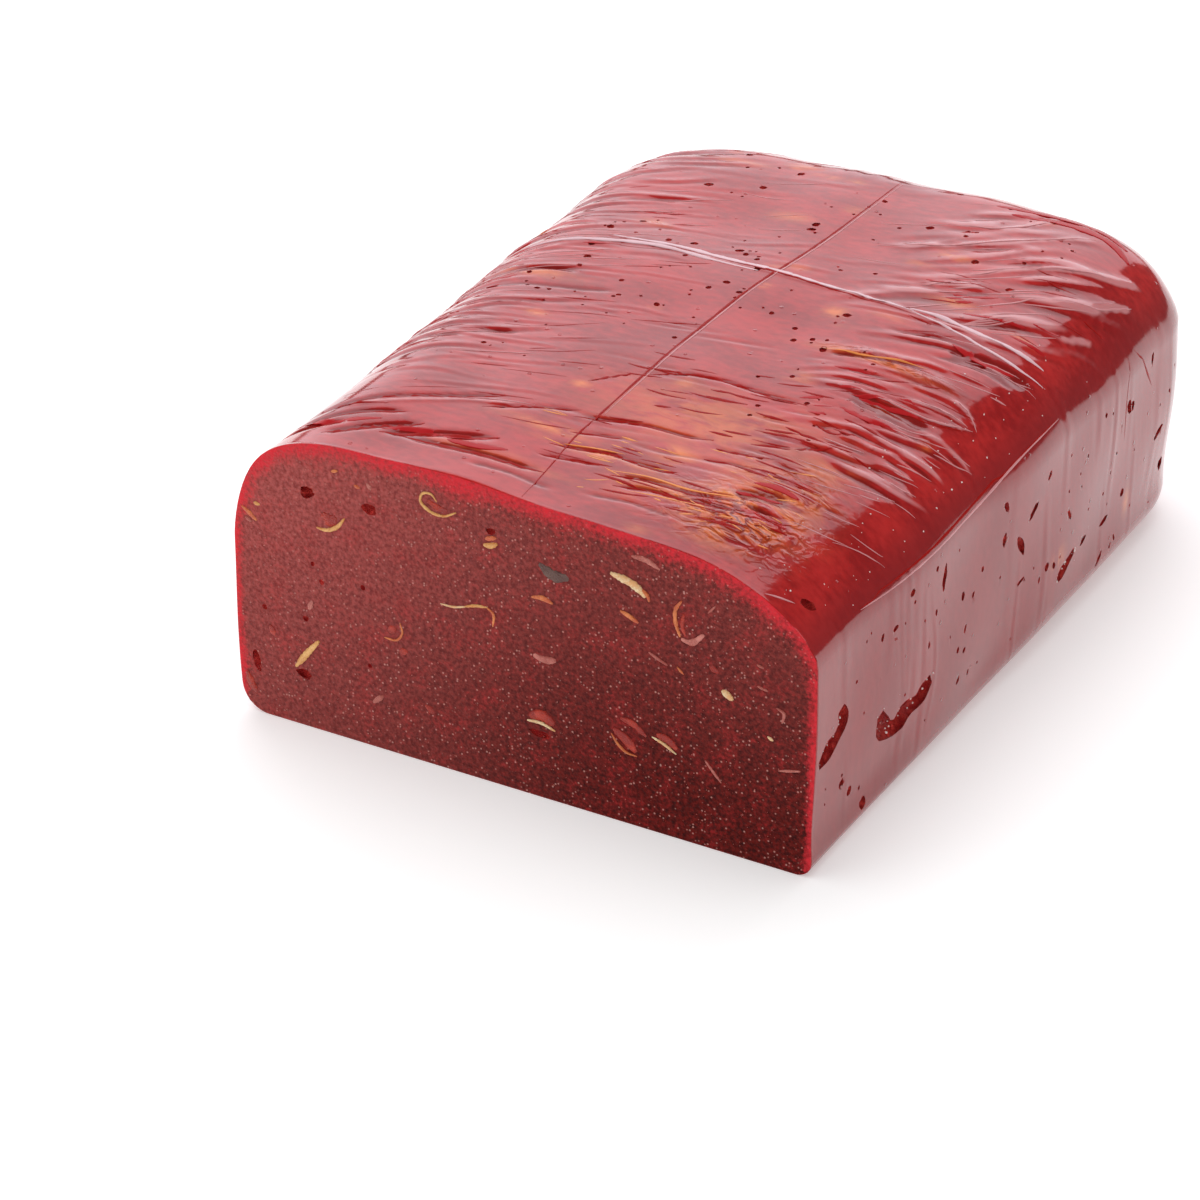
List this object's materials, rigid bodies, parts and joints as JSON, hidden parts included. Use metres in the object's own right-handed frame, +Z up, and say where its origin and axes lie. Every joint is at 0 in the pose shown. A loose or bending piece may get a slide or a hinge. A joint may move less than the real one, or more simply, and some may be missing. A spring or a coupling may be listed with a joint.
{
  "type": "block of guava paste",
  "caption": "Rectangular block of dark red fruit paste with rounded shoulders and one rounded end, cut square across at the other end, lying on its flat base.",
  "frame": {"origin": "on the base plane, under the middle of the block's bounding box", "axes": "+Z up, +Y along the length from the cut face to the rounded end, +X across the width, to the right when facing the cut face"},
  "size_m": [0.1152, 0.1542, 0.0554],
  "materials": {
    "paste_skin": "glossy dark red skin, slightly see-through",
    "cut_paste": "matt, fine-grained brown-red cut face",
    "peel": "golden to red shreds of peel"
  },
  "bodies": {
    "root": {"loaf": "paste_skin"}
  },
  "joints": []
}
